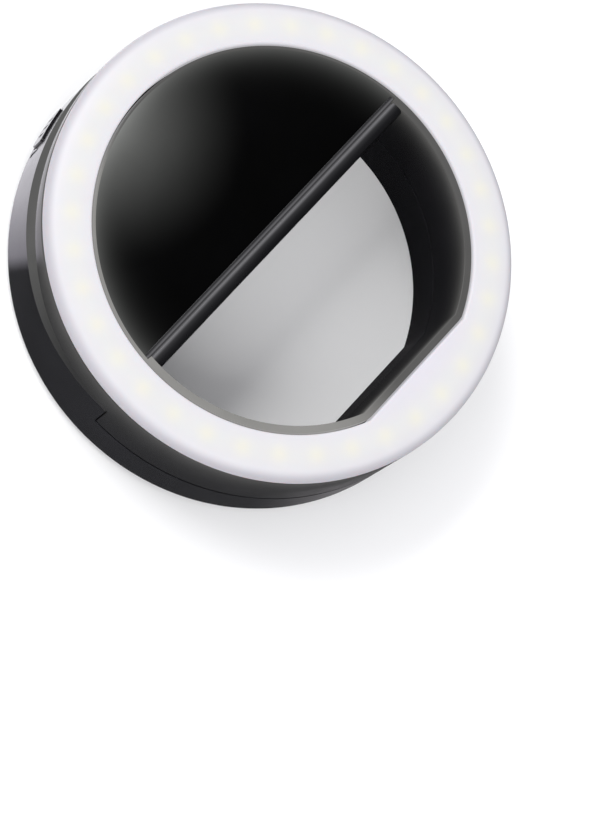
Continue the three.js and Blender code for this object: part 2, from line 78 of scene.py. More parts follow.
WALL = 1.7
LEVER_Z = 16.8
BAR_LOW = 19.5
BAR_TOP = 24.9
BAR_TOP_EDGE = 2.4      # the groove over the hinge runs from this Y to the next
RIB_EDGE = 2.85
RIB_END = 3.6
GROOVE_FLOOR = 23.9
SKIRT_R = 40.3
SKIRT_THICK = 1.0
DIFFUSER_R = 34.5
DIFFUSER_FLAT = 32.0
DIFFUSER_DROP = 3.0
DIFFUSER_SKIN = 1.4
WINDOW_R = 32.9
WINDOW_FLAT = 30.4
LIP_WALL = 1.3
LEVER_BEND_Y = 20.0
LEVER_SLOPE = 0.144
HEAD_SPLIT_Y = 1.0
REAR_SPLIT_Y = 1.3
PANEL_TOP = 24.7
PANEL_THICK = 1.6
PANEL_R = 33.75
PANEL_Y = 3.4
WEB_Z = 19.9
WEB_TOP = 20.7
FLOOR = 1.8
EDGE_RADIUS = 2.0
BARREL_R = 2.7
PIN_R = 1.0
PIN_BORE_R = 1.35
LUG_FROM = 21           # the head's two knuckles, from the middle
LUG_TO = 31
CENTRE_BARREL = 9.5     # half the length of the clip's knuckle
WIRE_R = 0.35
COIL_R = 1.8
PAD_HALF_ANGLE = 32
CLEARANCE = 0.3
LED_R = 38.0
LED_COUNT = 36
PORT_ANGLE = 11.5
SLOT_ANGLE = 18.3
PORT_Z = 5.8
BUTTON_R = 42.9
FAR = 50                # reach of a cutter that passes right through
SIDES = 240


# Camera, light and floor ---------------

def add_object(name, data):
    item = bpy.data.objects.new(name, data)
    bpy.context.collection.objects.link(item)
    return item


def make_camera():
    """A long lens in front of the ring, turned so that the lever is at the upper left."""
    right = Vector((0.62572, -0.70610, 0.33151)).normalized()
    up = Vector((0.67829, 0.70239, 0.21579))
    up = (up - right * up.dot(right)).normalized()
    back = right.cross(up)
    distance = 0.8
    data = bpy.data.cameras.new("camera")
    data.sensor_width = 36
    data.lens = 200.7
    data.clip_start = 0.01
    camera = add_object("camera", data)
    place = Vector((0, 0, CREST * MM)) + back * distance + right * 0.0025275 - up * 0.031221
    turn = Matrix((right, up, back)).transposed()
    camera.matrix_world = Matrix.Translation(place) @ turn.to_4x4()
    bpy.context.scene.camera = camera
    bpy.context.scene.view_settings.view_transform = "Standard"


def area_light(name, direction, size, power):
    """A rectangular light a metre from the product, aimed at it."""
    data = bpy.data.lights.new(name, "AREA")
    data.shape = "RECTANGLE"
    data.size, data.size_y = size
    data.energy = power
    light = add_object(name, data)
    aim = Vector(direction).normalized()
    light.location = aim
    light.rotation_euler = aim.to_track_quat("Z", "Y").to_euler()


def make_lights():
    """An even bright room, dim in reflections, with a key light and a weaker fill."""
    world = bpy.data.worlds.new("studio")
    bpy.context.scene.world = world
    world.use_nodes = True
    tree = world.node_tree
    background = tree.nodes["Background"]
    background.inputs["Color"].default_value = (0.97, 0.97, 1.0, 1)
    rays = tree.nodes.new("ShaderNodeLightPath")
    strength = tree.nodes.new("ShaderNodeMapRange")
    strength.inputs["To Min"].default_value = 0.86
    strength.inputs["To Max"].default_value = 0.08
    tree.links.new(rays.outputs["Is Glossy Ray"], strength.inputs["Value"])
    tree.links.new(strength.outputs["Result"], background.inputs["Strength"])
    area_light("key", (0.1, 0.75, 0.8), (0.7, 0.5), 8)
    area_light("fill", (-0.7, -0.5, 0.9), (0.6, 0.6), 5)


def make_card():
    """A wide disc under the product, which only its gloss sees."""
    card = plate("card", circle(400, sides=96), -0.15, -0.1, "card")
    card.visible_camera = False
    card.visible_diffuse = False
    card.visible_shadow = False
    card.visible_transmission = False


def card_tone():
    """Glow by direction round the ring: pale behind the lever and dark elsewhere.

    It is dimmer under the product, with a narrow pale strip close to the jaw.
    """
    nodes = Nodes("card")
    axes = nodes.add("ShaderNodeSeparateXYZ", {"Vector": nodes.place()}).outputs
    side = nodes.maths("ABSOLUTE", axes[0])
    angle = nodes.over(nodes.maths("ARCTAN2", side, axes[1]), pi)
    ramp = nodes.add("ShaderNodeValToRGB", {"Fac": angle})
    dark = (0.035, 0.035, 0.037)
    stops = [(0.0, (0.6, 0.6, 0.62)), (0.15, (0.6, 0.585, 0.63)), (0.236, (0.38, 0.365, 0.41)),
             (0.256, dark), (1.0, dark)]
    for i, (position, colour) in enumerate(stops):
        stop = ramp.color_ramp.elements[i] if i < 2 else ramp.color_ramp.elements.new(position)
        stop.position = position
        stop.color = (*colour, 1)
    radius = ring_place(nodes)[0]
    under = nodes.remap(radius, WINDOW_R - 1, OUTER_R, 0.12, 1.0)
    close = nodes.times(nodes.remap(radius, OUTER_R + 3, OUTER_R + 4, 0.09, 0.0),
                        nodes.remap(angle, 0.74, 0.88, 0.0, 1.0, True))
    pale = nodes.mix(close, ramp.outputs["Color"], (1.0, 0.96, 1.0))
    tone = nodes.add("ShaderNodeVectorMath", {0: pale, "Scale": under}, operation="SCALE")
    nodes.set(Base_Color=(0, 0, 0), Specular_IOR_Level=0.0)
    nodes.set(Emission_Color=tone.outputs[0], Emission_Strength=2.0)
    return nodes.material


def make_floor():
    """A sheet of paper just under the card."""
    half = 3.0
    corners = [(-half, -half, 0), (half, -half, 0), (half, half, 0), (-half, half, 0)]
    mesh = bpy.data.meshes.new("floor")
    mesh.from_pydata(corners, [], [(0, 1, 2, 3)])
    floor = add_object("floor", mesh)
    floor.location.z = -0.0002
    mesh.materials.append(floor_paper())


# Materials -----------------------------

class Nodes:
    """A short way to write a node tree."""

    def __init__(self, name):
        self.material = bpy.data.materials.new(name)
        self.material.use_nodes = True
        self.tree = self.material.node_tree
        self.shader = self.tree.nodes["Principled BSDF"]

    def add(self, kind, inputs=None, **settings):
        node = self.tree.nodes.new(kind)
        for key, value in settings.items():
            setattr(node, key, value)
        for key, value in (inputs or {}).items():
            self.feed(node, key, value)
        return node

    def feed(self, node, key, value):
        socket = node.inputs[key]
        if isinstance(value, bpy.types.NodeSocket):
            self.tree.links.new(value, socket)
        else:
            socket.default_value = value

    def place(self):
        return self.add("ShaderNodeTexCoord").outputs["Object"]

    def noise(self, scale, detail=4.0, roughness=0.55):
        inputs = {"Vector": self.place(), "Scale": scale, "Detail": detail, "Roughness": roughness}
        return self.add("ShaderNodeTexNoise", inputs).outputs["Fac"]

    def maths(self, operation, *values):
        inputs = dict(enumerate(values))
        return self.add("ShaderNodeMath", inputs, operation=operation).outputs[0]

    def times(self, *values):
        return self.maths("MULTIPLY", *values)

    def plus(self, *values):
        return self.maths("ADD", *values)

    def minus(self, *values):
        return self.maths("SUBTRACT", *values)

    def over(self, *values):
        return self.maths("DIVIDE", *values)

    def exp(self, value):
        return self.maths("EXPONENT", value)

    def remap(self, value, low, high, to_low, to_high, smooth=False):
        inputs = {"Value": value, "From Min": low, "From Max": high, "To Min": to_low, "To Max": to_high}
        style = "SMOOTHSTEP" if smooth else "LINEAR"
        return self.add("ShaderNodeMapRange", inputs, interpolation_type=style).outputs["Result"]

    def mix(self, factor, first, second):
        node = self.add("ShaderNodeMix", data_type="RGBA")
        self.feed(node, "Factor", factor)
        for key, value in (("A", first), ("B", second)):
            socket = [s for s in node.inputs if s.name == key and s.type == "RGBA"][0]
            if isinstance(value, bpy.types.NodeSocket):
                self.tree.links.new(value, socket)
            else:
                socket.default_value = (*value, 1)
        return [s for s in node.outputs if s.type == "RGBA"][0]

    def bump(self, height, strength, distance):
        inputs = {"Height": height, "Strength": strength, "Distance": distance * MM}
        self.feed(self.shader, "Normal", self.add("ShaderNodeBump", inputs).outputs["Normal"])

    def set(self, **values):
        for key, value in values.items():
            name = key.replace("_", " ")
            if isinstance(value, tuple) and len(value) == 3:
                value = (*value, 1)
            self.feed(self.shader, name, value)


SHELL_DARK = (0.008, 0.008, 0.009)
SHELL_LIGHT = (0.013, 0.013, 0.015)
COVER_DARK = (0.012, 0.012, 0.013)
COVER_LIGHT = (0.02, 0.02, 0.022)

# Dark and light tone, roughness and grain, then the bump, specular and coat that aren't the usual ones
MOULDINGS = {
    "shell": (SHELL_DARK, SHELL_LIGHT, 0.16, 700, 0.02, 0.5, 0.15),
    # Paler plastic for the bevelled edges: a painted highlight along each edge, not wear
    "edge_highlight": ((0.05, 0.05, 0.052), (0.1, 0.1, 0.104), 0.35, 700, 0.05),
    "cover": (COVER_DARK, COVER_LIGHT, 0.55, 2600, 0.35, 0.35),
    "rubber": ((0.014, 0.014, 0.015), (0.026, 0.026, 0.027), 0.8, 1800, 0.3, 0.3),
    "tape": ((0.45, 0.2, 0.02), (0.6, 0.3, 0.04), 0.25, 900),
    "white_board": ((0.74, 0.74, 0.72), (0.84, 0.84, 0.82), 0.4, 1500),
    "green_board": ((0.006, 0.09, 0.035), (0.01, 0.15, 0.06), 0.35, 1200),
    "phosphor": ((0.95, 0.66, 0.12), (1.0, 0.78, 0.25), 0.4, 2500),
    "chip": ((0.01, 0.01, 0.011), (0.02, 0.02, 0.021), 0.6, 3000, 0.3),
    "foam": ((0.02, 0.02, 0.021), (0.05, 0.05, 0.052), 0.95, 2500, 0.9),
    "smoke": ((0.02, 0.02, 0.025), (0.04, 0.04, 0.05), 0.1, 900, 0.02, 0.6),
    "red_lead": ((0.4, 0.015, 0.01), (0.55, 0.03, 0.02), 0.4, 1500),
    "black_lead": ((0.01, 0.01, 0.01), (0.02, 0.02, 0.02), 0.4, 1500),
}

# Dark and light tone and roughness
METALS = {
    "steel": ((0.5, 0.51, 0.53), (0.68, 0.69, 0.71), 0.3),
    "spring": ((0.3, 0.3, 0.31), (0.5, 0.5, 0.5), 0.35),
    "gold": ((0.75, 0.5, 0.16), (0.9, 0.65, 0.25), 0.25),
    "copper": ((0.55, 0.2, 0.08), (0.75, 0.3, 0.13), 0.35),
    "foil": ((0.55, 0.57, 0.6), (0.72, 0.74, 0.77), 0.42),
}


def moulded_plastic(name, dark, light, roughness, grain, bump=0.08, specular=0.5, coat=0.0):
    """Injection-moulded plastic: faint flow clouds, fine grain and light handling haze."""
    nodes = Nodes(name)
    clouds = nodes.noise(60, 3)
    colour = nodes.mix(nodes.remap(clouds, 0.3, 0.7, 0, 1), dark, light)
    haze = nodes.remap(nodes.noise(220, 6, 0.7), 0.35, 0.75, roughness * 0.85, roughness * 1.3)
    nodes.set(Base_Color=colour, Roughness=haze, Specular_IOR_Level=specular)
    nodes.set(Coat_Weight=coat, Coat_Roughness=0.12)
    nodes.bump(nodes.noise(grain, 5, 0.6), bump, 0.05)
    return nodes


def floor_paper():
    """White paper with a faint cloudiness and tooth."""
    nodes = Nodes("floor_paper")
    tone = nodes.mix(nodes.noise(9, 4), (0.86, 0.86, 0.86), (0.9, 0.9, 0.9))
    nodes.set(Base_Color=tone, Roughness=0.9)
    nodes.bump(nodes.noise(700, 3), 0.1, 0.1)
    return nodes.material


def ring_place(nodes):
    """Distance from the ring's axis in millimetres, and the place's X, Y, Z sockets."""
    axes = nodes.add("ShaderNodeSeparateXYZ", {"Vector": nodes.place()}).outputs
    squares = [nodes.times(axes[i], axes[i]) for i in (0, 1)]
    radius = nodes.maths("SQRT", nodes.plus(*squares))
    return nodes.over(radius, MM), axes


def diffuser_glow():
    """Milky cover lit from behind: a warm soft spot over each LED, cooler towards both edges."""
    nodes = Nodes("diffuser")
    radius, axes = ring_place(nodes)
    angle = nodes.maths("ARCTAN2", axes[1], axes[0])
    pitch = 2 * pi / LED_COUNT
    turns = nodes.over(nodes.plus(angle, pi), pitch)
    along = nodes.times(nodes.maths("PINGPONG", turns, 0.5), pitch * LED_R)
    away = nodes.minus(radius, LED_R)
    spread = nodes.plus(nodes.times(along, along), nodes.times(away, away))
    spot = nodes.exp(nodes.times(spread, -0.42))
    band = nodes.exp(nodes.times(nodes.times(away, away), -0.09))
    cloud = nodes.remap(nodes.noise(160, 4), 0.3, 0.7, 0.985, 1.015)
    cool = nodes.mix(band, (0.72, 0.71, 0.76), (0.86, 0.855, 0.86))
    warm = nodes.mix(nodes.times(spot, 0.85), cool, (0.95, 0.92, 0.76))
    rim = nodes.remap(radius, OUTER_R - 1.9, OUTER_R - 0.1, 1.0, 0.42, True)
    scale = nodes.times(cloud, rim)
    lit = nodes.add("ShaderNodeVectorMath", {0: warm, "Scale": scale}, operation="SCALE").outputs[0]
    nodes.set(Base_Color=nodes.mix(band, (0.27, 0.26, 0.29), (0.24, 0.24, 0.24)), Emission_Color=lit)
    nodes.set(Emission_Strength=0.55, Roughness=0.35, Specular_IOR_Level=0.15)
    nodes.set(Subsurface_Weight=0.2, Subsurface_Scale=0.002)
    nodes.bump(nodes.noise(900, 3), 0.05, 0.03)
    return nodes.material


def panel_plastic():
    """The lever's glossy panel, which the lit ring beside it veils with a soft glow."""
    nodes = moulded_plastic("panel_plastic", (0.0005, 0.0005, 0.0005), (0.0009, 0.0009, 0.001), 0.16, 900,
                            0.03, 0.16)
    radius = ring_place(nodes)[0]
    rim = nodes.exp(nodes.times(nodes.minus(radius, 33.6), 0.6))
    reach = nodes.add("ShaderNodeVectorMath", {0: nodes.place(), 1: (-0.008, 0.037, 0.0247)},
                      operation="DISTANCE").outputs["Value"]
    veil = nodes.maths("POWER", nodes.remap(reach, 0.0, 0.027, 1.0, 0.0), 2.0)
    glow = nodes.plus(nodes.times(rim, 0.075), nodes.times(veil, 0.2))
    return glowing(nodes, glow, (0.97, 0.99, 0.96), 90)


def glowing(nodes, strength, tint, grain=120):
    """Adds the diffuser's spilled light to a black plastic, with a faint unevenness."""
    cloud = nodes.remap(nodes.noise(grain, 3), 0.3, 0.7, 0.94, 1.06)
    nodes.set(Emission_Color=nodes.mix(nodes.times(strength, cloud), (0, 0, 0), tint), Emission_Strength=1.0)
    return nodes.material


def lit_shell():
    """The light head's shell, where the diffuser spills light down its wall and over the window's lip."""
    nodes = moulded_plastic("lit_shell", SHELL_DARK, SHELL_LIGHT, 0.2, 700, 0.02, 0.2)
    radius, axes = ring_place(nodes)
    height = nodes.over(axes[2], MM)
    outer = nodes.maths("GREATER_THAN", radius, LED_R)
    down = nodes.over(nodes.minus(height, CREST - DIFFUSER_DROP), 4.2)
    lever_side = nodes.remap(axes[1], -0.01, 0.03, 0.065, 0.09, True)
    wall = nodes.times(nodes.exp(down), lever_side)
    deep = nodes.over(nodes.minus(height, LIP_TOP), 2.3)
    side = nodes.remap(axes[0], -0.02, -0.002, 0.27, 0.09, True)
    lip = nodes.times(nodes.exp(deep), side)
    glow = nodes.plus(nodes.times(wall, outer), nodes.times(lip, nodes.minus(1.0, outer)))
    return glowing(nodes, glow, (1.0, 0.985, 0.94))


def rear_plastic():
    """The rear shell, whose rim in the lever's gap catches the diffuser's light."""
    nodes = moulded_plastic("rear_plastic", SHELL_DARK, SHELL_LIGHT, 0.16, 700, 0.02, 0.5, 0.15)
    axes = ring_place(nodes)[1]
    normal = nodes.add("ShaderNodeNewGeometry").outputs["Normal"]
    up = nodes.add("ShaderNodeSeparateXYZ", {"Vector": normal}).outputs[2]
    rim = nodes.times(nodes.remap(up, 0.6, 0.95, 0.0, 1.0, True),
                      nodes.remap(axes[2], 0.0115, 0.0125, 0.0, 1.0))
    lever_side = nodes.remap(axes[1], 0.008, 0.034, 0.03, 0.1, True)
    return glowing(nodes, nodes.times(rim, lever_side), (0.97, 0.97, 0.94))


def skirt_plastic():
    """The skirt in the lever's gap, lit from above by the diffuser's rim."""
    nodes = moulded_plastic("skirt", SHELL_DARK, SHELL_LIGHT, 0.3, 700, 0.02, 0.4)
    axes = ring_place(nodes)[1]
    height = nodes.remap(axes[2], 0.0095, 0.0165, 0.03, 0.19, True)
    lever_side = nodes.remap(axes[1], 0.018, 0.034, 0.15, 1.0, True)
    return glowing(nodes, nodes.times(height, lever_side), (0.95, 0.95, 0.93))


def lit_cover():
    """The clip's inner cover: light from the diffuser falls on its edge through the lever's gap."""
    nodes = moulded_plastic("lit_cover", COVER_DARK, COVER_LIGHT, 0.5, 2600, 0.2, 0.35)
    radius, axes = ring_place(nodes)
    edge = nodes.remap(radius, SKIRT_R - 8, SKIRT_R - 1, 0.0, 0.14, True)
    lever_side = nodes.remap(axes[1], 0.01, 0.03, 0.1, 1.0, True)
    return glowing(nodes, nodes.times(edge, lever_side), (0.96, 0.95, 0.97))


def lit_bar():
    """The bar over the hinge, whose groove has a soft line of light along each of its edges."""
    nodes = moulded_plastic("lit_bar", (0.005, 0.005, 0.006), (0.008, 0.008, 0.009), 0.3, 700, 0.02, 0.3)
    across = nodes.over(ring_place(nodes)[1][1], MM)
    glow = nodes.remap(across, 0.9, 1.8, 0.0, 0.018, True)
    for middle, width, strength in ((BAR_TOP_EDGE - 0.15, 0.3, 0.13), (RIB_EDGE + 0.15, 0.2, 0.1)):
        away = nodes.over(nodes.minus(across, middle), width)
        line = nodes.exp(nodes.times(nodes.times(away, away), -1.0))
        glow = nodes.plus(glow, nodes.times(line, strength))
    return glowing(nodes, glow, (0.96, 0.95, 1.0))


def make_materials():
    made = {
        "card": card_tone(),
        "lit_shell": lit_shell(),
        "skirt": skirt_plastic(),
        "rear": rear_plastic(),
        "bar": lit_bar(),
        "panel": panel_plastic(),
        "diffuser": diffuser_glow(),
        "lit_cover": lit_cover(),
    }
    for name, look in MOULDINGS.items():
        made[name] = moulded_plastic(name, *look).material
    for name, look in METALS.items():
        made[name] = metal(name, *look)
    return made


def metal(name, dark, light, roughness):
    """Plated sheet: drawn streaks along X with a light tarnish."""
    nodes = Nodes(name)
    stretch = nodes.add("ShaderNodeMapping", {"Vector": nodes.place(), "Scale": (60, 2400, 2400)})
    streak = nodes.add("ShaderNodeTexNoise", {"Vector": stretch.outputs[0], "Scale": 1.0, "Detail": 4.0})
    tarnish = nodes.noise(300, 4)
    nodes.set(Base_Color=nodes.mix(tarnish, dark, light), Metallic=1.0)
    nodes.set(Roughness=nodes.remap(streak.outputs["Fac"], 0.3, 0.7, roughness * 0.7, roughness * 1.4))
    nodes.bump(streak.outputs["Fac"], 0.1, 0.02)
    return nodes.material


# Mesh tools ----------------------------

def new_object(name, points, faces, material, smooth=35):
    """A mesh object from points in millimetres, with outward faces and smooth shading below an angle."""
    mesh = bpy.data.meshes.new(name)
    mesh.from_pydata([Vector(p) * MM for p in points], [], faces)
    edit = bmesh.new()
    edit.from_mesh(mesh)
    bmesh.ops.remove_doubles(edit, verts=edit.verts, dist=1e-7)
    bmesh.ops.dissolve_degenerate(edit, edges=edit.edges, dist=1e-7)
    bmesh.ops.recalc_face_normals(edit, faces=edit.faces)
    edit.to_mesh(mesh)
    edit.free()
    shade(mesh, smooth)
    piece = add_object(name, mesh)
    mesh.materials.append(MATERIALS[material])
    return piece


def shade(mesh, smooth):
    mesh.shade_smooth()
    mesh.set_sharp_from_angle(angle=radians(smooth))


def rounded(corners, steps=4):
    """A closed outline of (x, y, radius) corners, each rounded by its radius."""
    outline = []
    count = len(corners)
    for i, (x, y, radius) in enumerate(corners):
        here = Vector((x, y))
        if radius == 0:
            outline.append((x, y))
            continue
        before = Vector(corners[i - 1][:2]) - here
        after = Vector(corners[(i + 1) % count][:2]) - here
        reach = radius / tan(before.angle(after) / 2)
        start = here + before.normalized() * min(reach, before.length * 0.48)
        end = here + after.normalized() * min(reach, after.length * 0.48)
        for step in range(steps + 1):
            t = step / steps
            point = start * (1 - t) ** 2 + here * 2 * t * (1 - t) + end * t * t
            outline.append((point.x, point.y))
    return outline


def pill(x0, x1, y0, y1, radius, steps=5):
    """A rounded rectangle, anticlockwise."""
    return rounded([(x0, y0, radius), (x1, y0, radius), (x1, y1, radius), (x0, y1, radius)], steps)


def loft(name, rows, material, closed_rows=False, smooth=35):
    """Quads between rows of points; a row is a closed loop. Either the rows close too, or caps end them."""
    width = len(rows[0])
    points = [p for row in rows for p in row]
    faces = []
    last = len(rows) if closed_rows else len(rows) - 1
    for i in range(last):
        j = (i + 1) % len(rows)
        for k in range(width):
            n = (k + 1) % width
            faces.append((i * width + k, i * width + n, j * width + n, j * width + k))
    if not closed_rows:
        faces.append(tuple(range(width)))
        faces.append(tuple(range((len(rows) - 1) * width, len(rows) * width)))
    return new_object(name, points, faces, material, smooth)


def turned(name, section, angles, material):
    """A section of (radius, z) points, which may change with the angle, carried round the axis."""
    rows = []
    for angle in angles:
        rows.append([(r * cos(angle), r * sin(angle), z) for r, z in section(angle)])
    return loft(name, rows, material, closed_rows=True)


def inset(outline, distance):
    """The outline moved inwards by its vertex normals; the outline runs anticlockwise."""
    moved = []
    count = len(outline)
    for i, (x, y) in enumerate(outline):
        ahead = Vector(outline[(i + 1) % count]) - Vector((x, y))
        behind = Vector((x, y)) - Vector(outline[i - 1])
        normal = Vector((-ahead.y, ahead.x)).normalized() + Vector((-behind.y, behind.x)).normalized()
        normal = normal.normalized()
        lean = max(0.5, normal.dot(Vector((-ahead.y, ahead.x)).normalized()))
        moved.append((x + normal.x * distance / lean, y + normal.y * distance / lean))
    return moved


def stacked(outline, low, high, edge, steps=3):
    """(outline, height) pairs from one end to the other, with both rims rounded by `edge`."""
    if edge == 0:
        return [(outline, low), (outline, high)]
    quarter = [pi / 2 * s / steps for s in range(steps + 1)]
    pairs = [(edge * (1 - sin(a)), low + edge * (1 - cos(a))) for a in quarter]
    pairs += [(edge * (1 - cos(a)), high - edge * (1 - sin(a))) for a in quarter]
    return [(inset(outline, distance) if distance else outline, height) for distance, height in pairs]


def plate(name, outline, z0, z1, material, edge=0.0):
    """An upright prism with both rims rounded by `edge`."""
    rows = [[(x, y, z) for x, y in layer] for layer, z in stacked(outline, z0, z1, edge)]
    return loft(name, rows, material)


def rim_bar(name, angle, outline, r0, r1, material="shell", edge=0.0):
    """An outline of (across, z) points drawn out along the ring's radius, turned left from +Y."""
    rows = [[(x, y, z) for x, z in layer] for layer, y in stacked(outline, r0, r1, edge)]
    piece = loft(name, rows, material)
    piece.data.transform(Matrix.Rotation(radians(angle), 4, "Z"))
    return piece


def profile_x(name, outline, x0, x1, material):
    """An outline of (y, z) points drawn out along X."""
    return loft(name, [[(x, y, z) for y, z in outline] for x in (x0, x1)], material)


def arc(r, start, end, steps):
    """Points on a circle about the axis, angles in radians."""
    angles = [start + (end - start) * s / steps for s in range(steps + 1)]
    return [(r * cos(angle), r * sin(angle)) for angle in angles]


def circle(r, x=0.0, y=0.0, sides=SIDES):
    return [(x + px, y + py) for px, py in arc(r, 0, 2 * pi, sides)[:-1]]


def half_moon(r, y):
    """The part of a disc above y, anticlockwise."""
    start = asin(y / r)
    return arc(r, start, pi - start, SIDES // 2)


def d_window(r, flat, top):
    """The part of a disc between the straight edge at the jaw and the one at the hinge, anticlockwise."""
    low = asin(-flat / r)
    high = asin(top / r)
    left = arc(r, pi - high, pi - low, SIDES // 4)
    right = arc(r, 2 * pi + low, 2 * pi + high, SIDES // 4)
    return left + right


def turned_z(name, profile, x, y, material, sides=32):
    """Circles of (radius, z) about an upright line, with flat ends."""
    return loft(name, [[(px, py, z) for px, py in circle(r, x, y, sides)] for r, z in profile], material)


def turned_x(name, profile, material, sides=48):
    """Circles of (radius, x) about the hinge line, with flat ends."""
    rows = []
    for r, x in profile:
        rows.append([(x, HINGE_Y + py, HINGE_Z + pz) for py, pz in circle(r, sides=sides)])
    return loft(name, rows, material)


def tube(name, path, radius, material, sides=14):
    """A round wire along a path of points, with its ends closed."""
    points = [Vector(p) for p in path]
    across = Vector((0.3, 0.2, 1.0))
    rows = []
    for i, point in enumerate(points):
        ahead = (points[min(i + 1, len(points) - 1)] - points[max(i - 1, 0)]).normalized()
        across = (across - ahead * across.dot(ahead)).normalized()
        other = ahead.cross(across)
        rows.append([tuple(point + across * u + other * v) for u, v in circle(radius, sides=sides)])
    return loft(name, rows, material, smooth=50)


def flowing(points, steps=6):
    """A smooth path through the points."""
    path = []
    ends = [points[0], *points, points[-1]]
    for i in range(1, len(ends) - 2):
        a, b, c, d = [Vector(p) for p in ends[i - 1:i + 3]]
        for step in range(steps):
            t = step / steps
            path.append(0.5 * (2 * b + (c - a) * t + (2 * a - 5 * b + 4 * c - d) * t ** 2
                               + (3 * b - a - 3 * c + d) * t ** 3))
    path.append(Vector(points[-1]))
    return path


def gathered(pieces):
    """The pieces as one object of separate solids, named after the first."""
    first = pieces[0]
    edit = bmesh.new()
    for piece in pieces:
        edit.from_mesh(piece.data)
    edit.to_mesh(first.data)
    edit.free()
    for piece in pieces[1:]:
        bpy.data.objects.remove(piece)
    shade(first.data, 35)
    return first


def settled(piece):
    """Turns the piece's modifiers into its mesh."""
    shaped = bpy.data.meshes.new_from_object(piece.evaluated_get(bpy.context.evaluated_depsgraph_get()))
    piece.modifiers.clear()
    piece.data = shaped
    return piece


def joined(target, others, operation):
    """Joins the others to the target, or cuts them from it, and drops them."""
    for other in others:
        change = target.modifiers.new("change", "BOOLEAN")
        change.object = other
        change.operation = operation
        change.solver = "EXACT"
        settled(target)
        bpy.data.objects.remove(other)
        bpy.context.view_layer.update()
    return target


def soften(piece, width, angle=40):
    """Rounds the sharp edges that are left after cutting, gives them a paler colour as a painted edge
    highlight and keeps wide faces even.
    """
    # The bevels take the paler edge material, a painted highlight along each cut edge
    piece.data.materials.append(MATERIALS["edge_highlight"])
    bevel = piece.modifiers.new("edges", "BEVEL")
    bevel.width = width * MM
    bevel.segments = 2
    bevel.limit_method = "ANGLE"
    bevel.angle_limit = radians(angle)
    bevel.miter_outer = "MITER_ARC"
    bevel.material = len(piece.data.materials) - 1
    shade(settled(piece).data, 32)
    even = piece.modifiers.new("even", "WEIGHTED_NORMAL")
    even.weight = 90
    even.keep_sharp = True
    return settled(piece)


def block(name, x, y, z0, width, depth, height, material, radius=0.12):
    """A small moulded block standing at z0, centred on x, y, with every edge rounded."""
    outline = pill(x - width / 2, x + width / 2, y - depth / 2, y + depth / 2, radius, 3)
    return plate(name, outline, z0, z0 + height, material, min(radius, height / 4))


def adopt(piece, body, slot, *nodes):
    """The piece rides the body and stands for the nodes; the slot is not used."""
    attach(piece, body)
    if nodes:
        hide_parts(*nodes)


# The light head ------------------------

def ring_angles(extra=()):
    """Even steps round the ring with a close pair at each sudden change."""
    even = [2 * pi * i / SIDES for i in range(SIDES)]
    pairs = [a + d for a in extra for d in (-0.0002, 0.0002)]
    kept = [a for a in even if all(abs(a - p) > 0.004 for p in pairs)]
    return sorted(kept + pairs)


def d_radius(angle, r, flat):
    """Distance from the axis to a D-shaped edge."""
    down = -sin(angle)
    return min(r, flat / down) if down > 0 else r


def flat_ends(r, flat):
    """Angles of the two corners where a D-shaped edge meets its flat at the jaw."""
    low = acos(flat / r)
    return (1.5 * pi - low, 1.5 * pi + low)


def dome(r):
    """Height of the diffuser's outside at a radius."""
    s = min(1.0, max(0.0, (r - DIFFUSER_R) / (OUTER_R - DIFFUSER_R)))
    return CREST - DIFFUSER_DROP * (1 - (1 - s ** 2.5) ** 0.4)


def diffuser_section(angle):
    """The milky cover: a domed skin with a rounded inner lip, open at the back."""
    inner = d_radius(angle, DIFFUSER_R, DIFFUSER_FLAT)
    lip = 0.45
    points = [(inner, DIFFUSER_LOW[2] + 0.2), (inner, CREST - lip)]
    for step in range(1, 5):
        turn = pi / 2 * step / 4
        points.append((inner + lip * (1 - cos(turn)), CREST - lip * (1 - sin(turn))))
    for step in range(1, 25):
        s = sin(pi / 2 * step / 24)
        r = inner + lip + (OUTER_R - 0.02 - inner - lip) * s
        points.append((r, dome(r)))
    rim = CREST - DIFFUSER_DROP
    points += [(OUTER_R - 0.15, rim + 0.02), (OUTER_R - DIFFUSER_SKIN, rim + 0.02)]
    for step in range(6, -1, -1):
        s = sin(pi / 2 * step / 7)
        r = inner + DIFFUSER_SKIN + (OUTER_R - 2 * DIFFUSER_SKIN - inner) * s
        points.append((r, dome(r + 0.4) - DIFFUSER_SKIN))
    points.append((inner + DIFFUSER_SKIN, DIFFUSER_LOW[2] + 0.2))
    return points


def make_diffuser():
    corners = flat_ends(DIFFUSER_R, DIFFUSER_FLAT)
    ring = turned("diffuser", diffuser_section, ring_angles(corners), "diffuser")
    adopt(ring, "head", "diffuser", "diffuser_ring")


def lever_edge(y):
    """Where the head ends towards the back, with the bend eased over a few millimetres."""
    ease = 3.0
    past = y - LEVER_BEND_Y + ease
    if past < 0:
        return LEVER_Z
    if past > 2 * ease:
        return LEVER_Z + LEVER_SLOPE * (past - ease)
    return LEVER_Z + LEVER_SLOPE * past ** 2 / (4 * ease)


